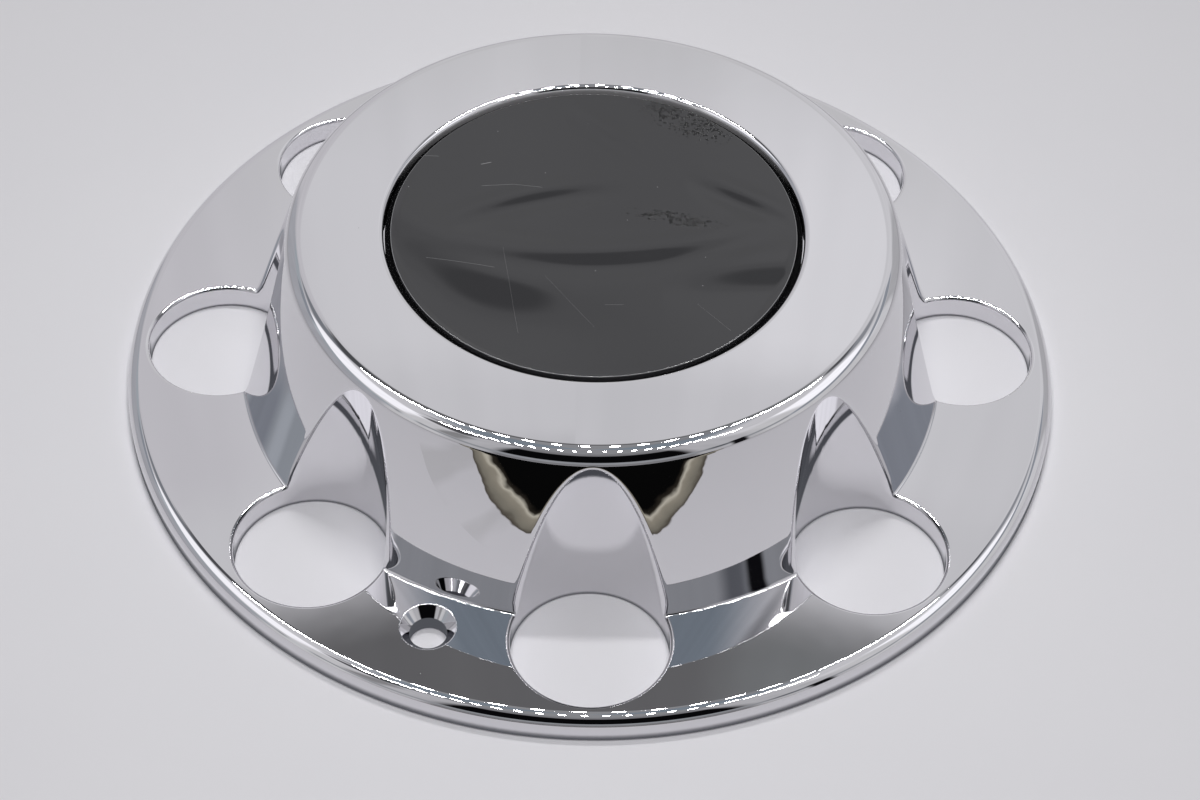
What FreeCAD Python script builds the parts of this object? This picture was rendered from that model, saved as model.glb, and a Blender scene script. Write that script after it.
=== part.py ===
"""Bolt-on wheel center cap: a plated moulding with a conical drum, lug openings and an emblem disc on a pad.

Frame: millimetres, +Z out of the cap's face, origin on the back plane at the centre of the wheel.
One lug opening lies on -Y.
"""
import FreeCAD, Part
import os
import Sketcher

# Driving dimensions, in millimetres, degrees and counts.
SIZES = {
    # lug openings
    "lug_count": 8,
    "lug_pitch_diameter": 165.1,
    "lug_radius": 16.3,
    "lug_edge_round": 0.9,
    # flange ring: flat land left between the openings' rounding and the rim's
    "flange_height": 5.9,
    "rim_land": 0.55,
    "rim_round": 3.0,
    # conical drum: how far its foot lies inside the lug circle, and how far the wall leans in
    "cap_height": 43.0,
    "drum_inset": 4.8,
    "drum_base_round": 0.7,
    "drum_lean": 12.45,
    "drum_top_round": 4.0,
    # emblem recess, the foam pad on its floor and the disc on the pad; clearances are all round
    "recess_radius": 45.0,
    "recess_depth": 3.4,
    "recess_edge_round": 1.2,
    "pad_clearance": 0.2,
    "pad_thickness": 1.4,
    "disc_clearance": 1.4,
    "disc_thickness": 1.4,
    "disc_edge_round": 0.3,
    # hollow back
    "wall": 2.8,
    "collar_wall": 2.5,
    # countersunk screw holes, each a gap away from the drum's foot
    "screw_count": 2,
    "screw_gap": 2.75,
    "screw_bore_radius": 3.9,
    "screw_sink_radius": 5.8,
    "screw_sink_angle": 82.0,
    "screw_edge_round": 0.3,
    "boss_wall": 2.2,
}

# Expressions shared by several sketches. The drum's radii are at its corners before rounding.
LUG_CIRCLE = "(sizes.lug_pitch_diameter / 2)"
HALF_LUG_STEP = "(180 / sizes.lug_count)"
FLANGE_RADIUS = (
    f"({LUG_CIRCLE} + sizes.lug_radius + sizes.lug_edge_round + sizes.rim_land + sizes.rim_round)"
)
DRUM_BASE = f"({LUG_CIRCLE} - sizes.drum_inset)"
DRUM_TOP = f"({DRUM_BASE} - sizes.drum_lean)"
DRUM_SLOPE = "(sizes.drum_lean / (sizes.cap_height - sizes.flange_height))"
WALL_ACROSS = f"(sizes.wall * sqrt(1 + {DRUM_SLOPE} ^ 2))"
RECESS_FLOOR = "(sizes.cap_height - sizes.recess_depth)"
PAD_TOP = f"({RECESS_FLOOR} + sizes.pad_thickness)"
SCREW_CIRCLE = f"({DRUM_BASE} + sizes.screw_gap + sizes.screw_sink_radius)"

# Sizes closer than this count as equal when edges are looked up.
TOUCHING = 1e-4

doc = FreeCAD.newDocument("center_cap")


def make_sheet():
    """Put the driving dimensions in a sheet, one named cell each."""
    sheet = doc.addObject("Spreadsheet::Sheet", "sizes")
    for row, (name, value) in enumerate(SIZES.items(), start=1):
        sheet.set(f"A{row}", name)
        sheet.set(f"B{row}", str(value))
        sheet.setAlias(f"B{row}", name)
    doc.recompute()
    return sheet


sizes = make_sheet()


def make_body(name):
    """A body whose label names its file."""
    body = doc.addObject("PartDesign::Body", name)
    body.Label = name
    return body


def origin_part(body, role):
    """One of the body's own origin planes or axes."""
    return next(item for item in body.Origin.OriginFeatures if item.Role == role)


def new_sketch(body, name, plane, turn=None, lift=None):
    """A sketch on an origin plane, turned about Z or lifted along Z by an expression."""
    sketch = body.newObject("Sketcher::SketchObject", name)
    sketch.AttachmentSupport = [(origin_part(body, plane), "")]
    sketch.MapMode = "FlatFace"
    if turn:
        sketch.AttachmentOffset = FreeCAD.Placement(
            FreeCAD.Vector(), FreeCAD.Rotation(FreeCAD.Vector(0, 1, 0), 1)
        )
        sketch.setExpression("AttachmentOffset.Rotation.Angle", turn)
    if lift:
        sketch.setExpression("AttachmentOffset.Base.z", lift)
    return sketch


def value_of(expression):
    """The present value of an expression of the sheet."""
    value = sizes.evalExpression(expression)
    return float(getattr(value, "Value", value))


def hold_point(sketch, geometry, point, across, up):
    """Tie a point to its coordinates, each an expression; "0" puts it on the axis."""
    for kind, axis, expression in (("DistanceX", -2, across), ("DistanceY", -1, up)):
        if expression == "0":
            sketch.addConstraint(Sketcher.Constraint("PointOnObject", geometry, point, axis))
            continue
        number = sketch.addConstraint(
            Sketcher.Constraint(kind, -1, 1, geometry, point, value_of(expression))
        )
        sketch.setExpression(f"Constraints[{number}]", expression)


def draw_outline(sketch, corners):
    """A closed outline through corners given as pairs of expressions."""
    points = [FreeCAD.Vector(value_of(across), value_of(up), 0) for across, up in corners]
    count = len(points)
    for index in range(count):
        sketch.addGeometry(Part.LineSegment(points[index], points[(index + 1) % count]))
    for index in range(count):
        following = (index + 1) % count
        sketch.addConstraint(Sketcher.Constraint("Coincident", index, 2, following, 1))
    for index, (across, up) in enumerate(corners):
        hold_point(sketch, index, 1, across, up)


def draw_circle(sketch, radius, across="0", up="0"):
    """A circle whose radius and centre are expressions."""
    centre = FreeCAD.Vector(value_of(across), value_of(up), 0)
    circle = Part.Circle(centre, FreeCAD.Vector(0, 0, 1), value_of(radius))
    number = sketch.addGeometry(circle)
    constraint = sketch.addConstraint(Sketcher.Constraint("Radius", number, value_of(radius)))
    sketch.setExpression(f"Constraints[{constraint}]", radius)
    hold_point(sketch, number, 3, across, up)


def revolve(body, name, sketch, kind="Revolution", axis="V_Axis"):
    """Turn a half section about an axis of its sketch, by default the upright one."""
    feature = body.newObject(f"PartDesign::{kind}", name)
    feature.Profile = sketch
    feature.ReferenceAxis = (sketch, [axis])
    feature.Angle = 360
    doc.recompute()
    return feature


def pocket_up(body, name, sketch):
    """Cut a sketch on the back plane upward through everything."""
    feature = body.newObject("PartDesign::Pocket", name)
    feature.Profile = sketch
    feature.Type = "ThroughAll"
    feature.Reversed = True
    return feature


def repeat_round(body, name, feature, count):
    """Repeat a feature evenly about the cap's axis."""
    pattern = body.newObject("PartDesign::PolarPattern", name)
    pattern.Originals = [feature]
    pattern.Axis = (origin_part(body, "Z_Axis"), [""])
    pattern.Angle = 360
    pattern.setExpression("Occurrences", count)
    body.Tip = pattern
    doc.recompute()
    return pattern


def round_edges(body, name, base, edges, radius):
    """Round the named edges of a feature."""
    feature = body.newObject("PartDesign::Fillet", name)
    feature.Base = (base, edges)
    feature.setExpression("Radius", radius)
    doc.recompute()
    return feature


def circle_edges(feature, radius, height):
    """Names of the circular edges about Z that have this radius at this height."""
    names = []
    for number, edge in enumerate(feature.Shape.Edges, start=1):
        curve = edge.Curve
        if not isinstance(curve, Part.Circle) or abs(abs(curve.Axis.z) - 1) > TOUCHING:
            continue
        if abs(curve.Radius - radius) < TOUCHING and abs(curve.Center.z - height) < TOUCHING:
            names.append(f"Edge{number}")
    return names


def front_edges_of_bores(feature, radius):
    """Names of the edges of upright bores of this radius that stay clear of the back plane."""
    chosen = []
    for face in feature.Shape.Faces:
        surface = face.Surface
        if not isinstance(surface, Part.Cylinder) or abs(surface.Radius - radius) > TOUCHING:
            continue
        chosen += [edge for edge in face.Edges if edge.BoundBox.ZMin > TOUCHING]
    return [
        f"Edge{number}"
        for number, edge in enumerate(feature.Shape.Edges, start=1)
        if any(edge.isSame(other) for other in chosen)
    ]


def make_outside(body):
    """The outside of the moulding as a solid: flange, drum and recess, with rounded edges."""
    section = new_sketch(body, "outside_section", "XZ_Plane", turn=HALF_LUG_STEP)
    draw_outline(section, [
        ("0", "0"),
        (FLANGE_RADIUS, "0"),
        (FLANGE_RADIUS, "sizes.flange_height"),
        (DRUM_BASE, "sizes.flange_height"),
        (DRUM_TOP, "sizes.cap_height"),
        ("sizes.recess_radius", "sizes.cap_height"),
        ("sizes.recess_radius", RECESS_FLOOR),
        ("0", RECESS_FLOOR),
    ])
    tip = revolve(body, "outside", section)
    for name, radius, height in (
        ("rim", FLANGE_RADIUS, sizes.flange_height),
        ("drum_base", DRUM_BASE, sizes.flange_height),
        ("drum_top", DRUM_TOP, sizes.cap_height),
        ("recess_edge", "sizes.recess_radius", sizes.cap_height),
    ):
        edges = circle_edges(tip, value_of(radius), height)
        tip = round_edges(body, f"{name}_rounding", tip, edges, f"sizes.{name}_round")
    return tip


def cut_lug_openings(body):
    """Upright bores that pierce the flange and scallop the drum, their front edges rounded."""
    sketch = new_sketch(body, "lug_circle", "XY_Plane")
    draw_circle(sketch, "sizes.lug_radius", up=f"-{LUG_CIRCLE}")
    bore = pocket_up(body, "lug_opening", sketch)
    openings = repeat_round(body, "lug_openings", bore, "sizes.lug_count")
    edges = front_edges_of_bores(openings, sizes.lug_radius)
    return round_edges(body, "lug_rounding", openings, edges, "sizes.lug_edge_round")


def make_hollow():
    """The space behind the moulding: what its walls, collars and screw bosses leave open."""
    body = make_body("hollow")
    section = new_sketch(body, "hollow_section", "XZ_Plane", turn=HALF_LUG_STEP)
    rim_inside = f"{FLANGE_RADIUS} - sizes.wall"
    under_flange = "sizes.flange_height - sizes.wall"
    under_top = "sizes.cap_height - sizes.wall"
    around_recess = "sizes.recess_radius + sizes.wall"
    under_recess = f"{RECESS_FLOOR} - sizes.wall"
    wall_inside = f"+ {DRUM_SLOPE} * sizes.wall - {WALL_ACROSS}"
    draw_outline(section, [
        ("0", "0"),
        (rim_inside, "0"),
        (rim_inside, under_flange),
        (f"{DRUM_BASE} {wall_inside}", under_flange),
        (f"{DRUM_TOP} {wall_inside}", under_top),
        (around_recess, under_top),
        (around_recess, under_recess),
        ("0", under_recess),
    ])
    revolve(body, "hollow_turned", section)
    collar = new_sketch(body, "collar_circle", "XY_Plane")
    draw_circle(collar, "sizes.lug_radius + sizes.collar_wall", up=f"-{LUG_CIRCLE}")
    repeat_round(body, "collars", pocket_up(body, "collar", collar), "sizes.lug_count")
    boss = new_sketch(body, "boss_circle", "XY_Plane")
    place_screw_circle(boss, "sizes.screw_sink_radius + sizes.boss_wall")
    repeat_round(body, "bosses", pocket_up(body, "boss", boss), "sizes.screw_count")
    return body


def place_screw_circle(sketch, radius):
    """A circle about the first screw, midway between two lug openings."""
    turn = f"(270 - {HALF_LUG_STEP})"
    draw_circle(
        sketch,
        radius,
        across=f"{SCREW_CIRCLE} * cos({turn} * 1 deg)",
        up=f"{SCREW_CIRCLE} * sin({turn} * 1 deg)",
    )


def cut_screw_holes(body):
    """Countersunk screw holes through the flange, with softened rims."""
    section = new_sketch(body, "screw_section", "XZ_Plane", turn=f"270 - {HALF_LUG_STEP}")
    bore_side = f"{SCREW_CIRCLE} + sizes.screw_bore_radius"
    sink_side = f"{SCREW_CIRCLE} + sizes.screw_sink_radius"
    sink_depth = (
        "(sizes.screw_sink_radius - sizes.screw_bore_radius) / tan(sizes.screw_sink_angle / 2 * 1 deg)"
    )
    draw_outline(section, [
        (SCREW_CIRCLE, "0"),
        (bore_side, "0"),
        (bore_side, f"sizes.flange_height - {sink_depth}"),
        (sink_side, "sizes.flange_height"),
        (SCREW_CIRCLE, "sizes.flange_height"),
    ])
    axis = section.addGeometry(section.Geometry[-1], True)
    closing_side = axis - 1
    for point in (1, 2):
        section.addConstraint(Sketcher.Constraint("Coincident", axis, point, closing_side, point))
    hole = revolve(body, "screw_hole", section, kind="Groove", axis="Axis0")
    holes = repeat_round(body, "screw_holes", hole, "sizes.screw_count")
    rims = circle_edges(holes, sizes.screw_sink_radius, sizes.flange_height)
    return round_edges(body, "screw_rounding", holes, rims, "sizes.screw_edge_round")


def make_cap_body():
    """The plated moulding: its outside, opened by the lug bores, hollowed and drilled."""
    body = make_body("cap_body")
    make_outside(body)
    cut_lug_openings(body)
    hollow = make_hollow()
    hollowing = body.newObject("PartDesign::Boolean", "hollowing")
    hollowing.setObjects([hollow])
    hollowing.Type = "Cut"
    doc.recompute()
    cut_screw_holes(body)
    return body


def make_plate(body, name, floor, radius):
    """A round plate that stands on a floor in the recess; its thickness is the size of that name."""
    sketch = new_sketch(body, f"{name}_circle", "XY_Plane", lift=floor)
    draw_circle(sketch, radius)
    plate = body.newObject("PartDesign::Pad", name)
    plate.Profile = sketch
    plate.setExpression("Length", f"sizes.{name}_thickness")
    doc.recompute()
    return plate


def make_adhesive_pad():
    """The black foam pad that fills the recess floor and holds the disc."""
    body = make_body("adhesive_pad")
    make_plate(body, "pad", RECESS_FLOOR, "sizes.recess_radius - sizes.pad_clearance")
    return body


def make_emblem_disc():
    """The plain round insert on the pad, with a groove left round it."""
    body = make_body("emblem_disc")
    radius = "sizes.recess_radius - sizes.disc_clearance"
    disc = make_plate(body, "disc", PAD_TOP, radius)
    rim = circle_edges(disc, value_of(radius), value_of(f"{PAD_TOP} + sizes.disc_thickness"))
    round_edges(body, "disc_rounding", disc, rim, "sizes.disc_edge_round")
    return body


def check_document(pieces):
    """Stop if any object failed or any piece is not one sound solid."""
    for item in doc.Objects:
        if "Invalid" in item.State or "Error" in item.State:
            raise RuntimeError(f"{item.Name}: {item.getStatusString()}")
    for piece in pieces:
        shape = piece.Shape
        if shape.isNull() or not shape.isValid() or len(shape.Solids) != 1:
            raise RuntimeError(f"{piece.Label}: not one valid solid")


def write_pieces(pieces):
    """One STEP file for each piece, named by its label."""
    os.makedirs("parts", exist_ok=True)
    for piece in pieces:
        piece.Shape.exportStep(f"parts/{piece.Label}.step")
        print(piece.Label, round(piece.Shape.Volume / 1000, 2), "cm3")


pieces = [make_cap_body(), make_adhesive_pad(), make_emblem_disc()]
doc.recompute()
check_document(pieces)
write_pieces(pieces)
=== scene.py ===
"""Looks of a chrome-plated bolt-on wheel center cap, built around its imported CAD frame.

Metres, +Z out of the cap's face, the back plane on the floor, one lug opening on -Y.
"""
import math
from functools import partial
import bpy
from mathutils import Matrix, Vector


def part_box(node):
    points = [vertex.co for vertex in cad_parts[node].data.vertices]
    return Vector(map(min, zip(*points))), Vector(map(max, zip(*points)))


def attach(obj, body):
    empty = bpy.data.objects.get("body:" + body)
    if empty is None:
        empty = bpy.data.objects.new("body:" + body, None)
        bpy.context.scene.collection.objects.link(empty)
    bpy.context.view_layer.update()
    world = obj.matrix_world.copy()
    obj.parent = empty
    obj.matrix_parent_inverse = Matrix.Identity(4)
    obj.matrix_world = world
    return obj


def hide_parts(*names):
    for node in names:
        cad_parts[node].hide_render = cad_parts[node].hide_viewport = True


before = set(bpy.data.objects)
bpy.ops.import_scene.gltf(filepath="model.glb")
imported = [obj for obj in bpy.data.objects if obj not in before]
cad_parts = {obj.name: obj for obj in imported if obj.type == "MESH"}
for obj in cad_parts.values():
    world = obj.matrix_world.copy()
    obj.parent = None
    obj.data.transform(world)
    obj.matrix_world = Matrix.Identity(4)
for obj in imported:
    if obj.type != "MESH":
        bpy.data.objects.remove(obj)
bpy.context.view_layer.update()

from types import SimpleNamespace

import bmesh
import bpy
from bpy.props import FloatProperty, FloatVectorProperty, IntProperty, PointerProperty
from mathutils import Matrix, Vector

bl_info = {
    "name": "Center Cap Looks",
    "version": (1, 0, 0),
    "blender": (4, 5, 0),
    "location": "View3D > Sidebar > Center Cap",
    "description": "Builds the plated cap, its emblem disc and a small light tent around the packed frame",
    "category": "Object",
}

CAP_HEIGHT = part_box("cap_body")[1].z
DISC_LOW, DISC_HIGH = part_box("emblem_disc")
MM = 0.001

# How finely the cap is drawn: steps across half of one lug spacing, and round each kind of edge.
COLUMNS = 18
EDGE_STEPS = 7
LUG_STEPS = 40
WALL_STEPS = 34
CROWN_STEPS = 12
RIM_STEPS = 10
SCREW_STEPS = 24
# Halvings that find the top of a scallop.
HALVINGS = 60
# The lug edge's rounding swells over this length of the drum.
LIP_RUN = 2.5 * MM
SMALL_STEPS = 4
# The disc: its rings, its spokes, the steps round its edge, and the first ring's place inside that rounding.
DISC_RINGS = 90
DISC_SPOKES = 256
DISC_EDGE_STEPS = 5
FIRST_RING = 0.05 * MM
# Corners closer than this are one corner.
WELD = 1e-6
# Edges that turn by more than this are drawn sharp.
SHARP_TURN = math.radians(35)


def linear(code):
    """Linear colour of an sRGB hex value."""
    values = [int(code[start:start + 2], 16) / 255 for start in (1, 3, 5)]
    return tuple(v / 12.92 if v <= 0.04045 else ((v + 0.055) / 1.055) ** 2.4 for v in values)


def length_prop(name, description, default):
    """A length that the user may change, in metres."""
    return FloatProperty(
        name=name,
        description=description,
        default=default,
        min=0.0,
        precision=5,
        subtype="DISTANCE",
        unit="LENGTH",
    )


def colour_prop(name, description, code):
    """A colour that the user may change."""
    return FloatVectorProperty(
        name=name, description=description, default=linear(code), min=0.0, max=1.0, size=3, subtype="COLOR"
    )


class CapSizes(bpy.types.PropertyGroup):
    """Sizes of the cap's pieces; they follow the CAD model."""

    lug_count: IntProperty(name="Lug openings", description="Openings round the flange", default=8, min=3)
    lug_circle: length_prop("Lug circle", "Diameter through the middles of the lug openings", 165.1 * MM)
    lug_radius: length_prop("Lug radius", "Radius of a lug opening", 16.3 * MM)
    lug_edge_round: length_prop("Lug edge", "Rounding of a lug opening's front edge", 0.9 * MM)
    scallop_round: length_prop("Scallop edge", "Rounding of that edge where it climbs the drum", 2.3 * MM)
    flange_height: length_prop("Flange height", "Height of the flange's face above the back", 5.9 * MM)
    rim_land: length_prop("Rim land", "Flat left between the openings' rounding and the rim's", 0.55 * MM)
    rim_round: length_prop("Rim rounding", "Rounding of the flange's outer edge", 3.0 * MM)
    cap_height: length_prop("Cap height", "Height of the top ring above the back", CAP_HEIGHT)
    drum_inset: length_prop("Drum inset", "How far the drum's foot lies inside the lug circle", 4.8 * MM)
    drum_base_round: length_prop("Drum foot", "Hollow rounding at the drum's foot", 0.7 * MM)
    drum_lean: length_prop("Drum lean", "How far the drum's wall leans in from foot to top", 12.45 * MM)
    drum_top_round: length_prop("Drum crown", "Rounding between the drum's wall and the top ring", 4.0 * MM)
    recess_radius: length_prop("Recess radius", "Radius of the emblem recess", 45.0 * MM)
    recess_depth: length_prop("Recess depth", "Depth of the emblem recess", 3.4 * MM)
    recess_edge_round: length_prop("Recess edge", "Rounding of the recess's edge", 1.2 * MM)
    wall: length_prop("Wall", "Thickness of the moulding", 2.8 * MM)
    collar_wall: length_prop("Collar wall", "Thickness of the collar behind each lug opening", 2.5 * MM)
    screw_count: IntProperty(
        name="Screw holes", description="Countersunk holes in the flange", default=2, min=1
    )
    screw_gap: length_prop("Screw gap", "Flat between the drum's foot and a countersink", 2.75 * MM)
    screw_bore: length_prop("Screw bore", "Radius of a screw hole", 3.9 * MM)
    screw_sink: length_prop("Screw sink", "Radius of a countersink at the flange's face", 5.8 * MM)
    screw_edge_round: length_prop("Screw edge", "Rounding of a countersink's rim", 0.3 * MM)
    sink_angle: FloatProperty(
        name="Sink angle",
        description="Full angle of the countersink",
        default=math.radians(82),
        subtype="ANGLE",
    )
    boss_wall: length_prop("Boss wall", "Wall left round a countersink behind the flange", 2.2 * MM)
    back_break: length_prop("Back edges", "Rounding of the edges that rest on the wheel", 0.5 * MM)
    disc_radius: length_prop("Disc radius", "Radius of the emblem disc", DISC_HIGH.x)
    disc_edge_round: length_prop("Disc edge", "Rounding of the disc's upper edge", 0.3 * MM)


class CapColours(bpy.types.PropertyGroup):
    """Colours of the finishes and of the studio."""

    chrome: colour_prop("Chrome", "Reflectance of the plating", "#DEDDE0")
    disc: colour_prop("Disc", "Body colour of the emblem disc", "#373739")
    # This colour also paints the highlight round the disc's edge.
    scratch: colour_prop("Scratches", "Fine scratches and dust on the disc", "#8E8E90")
    foam: colour_prop("Foam", "The pad under the disc", "#0D0D0E")
    floor: colour_prop("Floor", "The pale table", "#EBEAED")


def add_node(tree, kind, inputs=None, **settings):
    """Add a node with its settings; an input takes a value, a hex colour, a socket, a node or a list."""
    node = tree.nodes.new(kind)
    for name, value in settings.items():
        setattr(node, name, value)
    for key, given in (inputs or {}).items():
        socket = node.inputs[key]
        for value in given if isinstance(given, list) else [given]:
            if isinstance(value, bpy.types.Node):
                value = next(output for output in value.outputs if output.enabled)
            if isinstance(value, bpy.types.NodeSocket):
                tree.links.new(value, socket)
            elif isinstance(value, str):
                socket.default_value = (*linear(value), 1.0)
            else:
                socket.default_value = value
    return node


def set_stops(ramp, stops):
    """Give a colour ramp its stops, each a place, a hex colour and an opacity."""
    elements = ramp.color_ramp.elements
    while len(elements) < len(stops):
        elements.new(1.0)
    for element, (place, code, opacity) in zip(elements, stops):
        element.position = place
        element.color = (*linear(code), opacity)


def new_material(name):
    """An empty node material, what adds a node to it, and the object's own coordinates."""
    material = bpy.data.materials.new(name)
    material.use_nodes = True
    material.node_tree.nodes.clear()
    node = partial(add_node, material.node_tree)
    return material, node, node("ShaderNodeTexCoord").outputs["Object"]


def show(material, shader, glows=False):
    """Put a shader on the material's surface; what glows is seen in mirrors and not sampled as a lamp."""
    add_node(material.node_tree, "ShaderNodeOutputMaterial", {"Surface": shader})
    if glows:
        material.cycles.emission_sampling = "NONE"
    return material


def flat_length(node, vector):
    """How far a place lies from the upright axis of its coordinates."""
    flat = node("ShaderNodeVectorMath", {0: vector, 1: (1, 1, 0)}, operation="MULTIPLY")
    return node("ShaderNodeVectorMath", {0: flat}, operation="LENGTH")


def dust_mask(node, place, spacing, radius):
    """1 on grains of dust of this radius, one to each cell of this spacing, in mm."""
    cells = node("ShaderNodeTexVoronoi", {"Vector": place, "Scale": 1 / (spacing * MM)})
    return node("ShaderNodeMath", {0: cells, 1: radius / spacing}, operation="LESS_THAN")


def new_tree(name, inputs):
    """A Geometry Nodes tree with these inputs and a geometry out, what adds a node to it, and its inputs."""
    tree = bpy.data.node_groups.new(name, "GeometryNodeTree")
    for label, kind in inputs.items():
        tree.interface.new_socket(name=label, in_out="INPUT", socket_type="NodeSocket" + kind)
    tree.interface.new_socket(name="Geometry", in_out="OUTPUT", socket_type="NodeSocketGeometry")
    node = partial(add_node, tree)
    return tree, node, node("NodeGroupInput").outputs


def take_mesh(made, name):
    """A plain mesh of the gathered faces."""
    mesh = bpy.data.meshes.new(name)
    made.to_mesh(mesh)
    made.free()
    return mesh


def mark_sharp(made):
    """Draw the hard edges sharp."""
    for edge in made.edges:
        if len(edge.link_faces) == 2 and edge.calc_face_angle() > SHARP_TURN:
            edge.smooth = False


def new_object(name, mesh):
    """A mesh object in the scene, at the origin."""
    obj = bpy.data.objects.new(name, mesh)
    bpy.context.scene.collection.objects.link(obj)
    return obj


def settle(obj):
    """Turn the object's evaluated mesh into a plain mesh and take its modifiers off."""
    depsgraph = bpy.context.evaluated_depsgraph_get()
    shown = obj.evaluated_get(depsgraph)
    mesh = bpy.data.meshes.new_from_object(shown, preserve_all_data_layers=True, depsgraph=depsgraph)
    made_from = obj.data
    obj.modifiers.clear()
    obj.data = mesh
    mesh.name = obj.name
    bpy.data.meshes.remove(made_from)


def plated_plastic(colours):
    """Chrome-plated ABS: a moulded part under bright electroplated chromium, an almost perfect mirror."""
    # The plating copies the mould: the faint ripple of shrinking plastic bends what it mirrors, a little
    # wiping haze and a few specks of dust dull it. It is thin and hazy at the back, and the far side of the
    # recess's wall is greyed and dulled: the faces' dull value is 1 at the back, -1 on that wall and 0
    # elsewhere.
    material, node, place = new_material("Chrome-plated ABS")
    # 9 mm flow ripples, haze in 30 mm clouds, and one speck of 0.2 mm about every 13 mm.
    ripple = node("ShaderNodeTexNoise", {"Vector": place, "Scale": 1 / (9 * MM), "Detail": 1.0})
    haze = node("ShaderNodeTexNoise", {"Vector": place, "Scale": 1 / (30 * MM), "Detail": 4.0})
    dust = dust_mask(node, place, 13, 0.1)
    colour = node("ShaderNodeMix", {0: dust, 6: (*colours.chrome, 1.0), 7: "#6E6C6A"}, data_type="RGBA")
    dull = node("ShaderNodeAttribute", attribute_name="dull")
    gloss = node(
        "ShaderNodeMapRange",
        {"Value": haze, "From Min": 0.35, "From Max": 0.75, "To Min": 0.008, "To Max": 0.022},
    )
    # The greying grows from 14 to 34 mm behind the middle. It hazes twice as much as the back is hazy, and
    # where it is strongest seven tenths of the metal are hidden, so the wall shows grey there.
    across = node("ShaderNodeSeparateXYZ", {"Vector": place}).outputs["Y"]
    far_side_grey_ramp = node(
        "ShaderNodeMapRange", {"Value": across, "From Min": 14 * MM, "From Max": 34 * MM, "To Max": -2.0}
    )
    far_wall_greying = node("ShaderNodeMath", {0: dull.outputs["Fac"], 1: far_side_grey_ramp}, operation="MULTIPLY")
    hazy = node("ShaderNodeMath", {0: dull.outputs["Fac"], 1: far_wall_greying}, operation="MAXIMUM")
    roughness = node("ShaderNodeMath", {0: hazy, 1: 0.2, 2: gloss}, operation="MULTIPLY_ADD")
    metal = node("ShaderNodeMath", {0: far_wall_greying, 1: -0.35, 2: 1.0}, operation="MULTIPLY_ADD", use_clamp=True)
    bump = node("ShaderNodeBump", {"Height": ripple, "Strength": 0.35, "Distance": 0.03 * MM})
    shader = node(
        "ShaderNodeBsdfPrincipled",
        {"Base Color": colour, "Metallic": metal, "Roughness": roughness, "Normal": bump},
    )
    return show(material, shader)


# The painted highlight round the disc, a pale line along its upper edge: how far inside its rim it runs,
# and half its width.
EDGE_HIGHLIGHT = (0.15 * MM, 0.06 * MM)
# Wear on the disc's face, in mm: each fine scratch has two ends and a width, and each patch of specks, where
# the print has come away, a middle, a half length, a half width and its turn in degrees.
SCRATCHES = (
    ((-38.5, 22.2), (-34.1, 22.0), 0.06),
    ((-24.8, 19.6), (-22.6, 20.3), 0.17),
    ((-24.4, 12.7), (-17.6, 13.3), 0.06),
    ((-17.6, 13.3), (-11.3, 12.3), 0.06),
    ((-35.5, -9.8), (-21.0, -12.8), 0.05),
    ((-19.3, -7.0), (-15.6, -31.0), 0.022),
    ((-10.2, -15.0), (0.2, -29.5), 0.018),
    ((21.6, -22.2), (28.3, -30.0), 0.022),
    ((2.3, -23.0), (6.2, -22.9), 0.035),
)
SPECK_PATCHES = (
    ((20.0, 36.5), 15.5, 7.5, -36.0),
    ((17.5, 3.2), 13.0, 2.8, -11.0),
)


def beside_mark(node, place, middle, half_length, half_width, turn):
    """Coordinates about a mark on the disc, turned along it, in units of its half length and half width."""
    return node(
        "ShaderNodeMapping",
        {
            "Vector": place,
            "Location": (middle[0] * MM, middle[1] * MM, 0.0),
            "Rotation": (0.0, 0.0, turn),
            "Scale": (half_length * MM, half_width * MM, 1.0),
        },
        vector_type="TEXTURE",
    )


def scratch_mask(node, place):
    """1 on the fine scratches, 0 elsewhere."""
    mask = 0.0
    for start, end, width in SCRATCHES:
        along = Vector(end) - Vector(start)
        middle = (Vector(start) + Vector(end)) / 2
        turn = math.atan2(along.y, along.x)
        local = beside_mark(node, place, middle, along.length / 2, width / 2, turn)
        away = node("ShaderNodeVectorMath", {0: local}, operation="ABSOLUTE")
        parts = node("ShaderNodeSeparateXYZ", {"Vector": away}).outputs
        farther = node("ShaderNodeMath", {0: parts["X"], 1: parts["Y"]}, operation="MAXIMUM")
        inside = node("ShaderNodeMath", {0: farther, 1: 1.0}, operation="LESS_THAN")
        mask = node("ShaderNodeMath", {0: inside, 1: mask}, operation="MAXIMUM")
    return mask


def speck_mask(node, place):
    """1 on the dark specks, which crowd in the middles of their patches."""
    # Specks of up to 0.9 mm across in 0.8 mm cells, so they run together, gathered into 3 mm branches.
    cells = node("ShaderNodeTexVoronoi", {"Vector": place, "Scale": 1 / (0.8 * MM)})
    branches = node("ShaderNodeTexNoise", {"Vector": place, "Scale": 1 / (3 * MM), "Detail": 3.0})
    cover = 0.0
    for middle, half_length, half_width, turn in SPECK_PATCHES:
        local = beside_mark(node, place, middle, half_length, half_width, math.radians(turn))
        away = flat_length(node, local)
        near = node("ShaderNodeMapRange", {"Value": away, "From Min": 1.0, "From Max": 0.5})
        cover = node("ShaderNodeMath", {0: near, 1: cover}, operation="MAXIMUM")
    crowd = node(
        "ShaderNodeMapRange", {"Value": branches, "From Min": 0.3, "From Max": 0.42, "To Max": 0.55}
    )
    size = node("ShaderNodeMath", {0: crowd, 1: cover}, operation="MULTIPLY")
    return node("ShaderNodeMath", {0: cells, 1: size}, operation="LESS_THAN")


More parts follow.
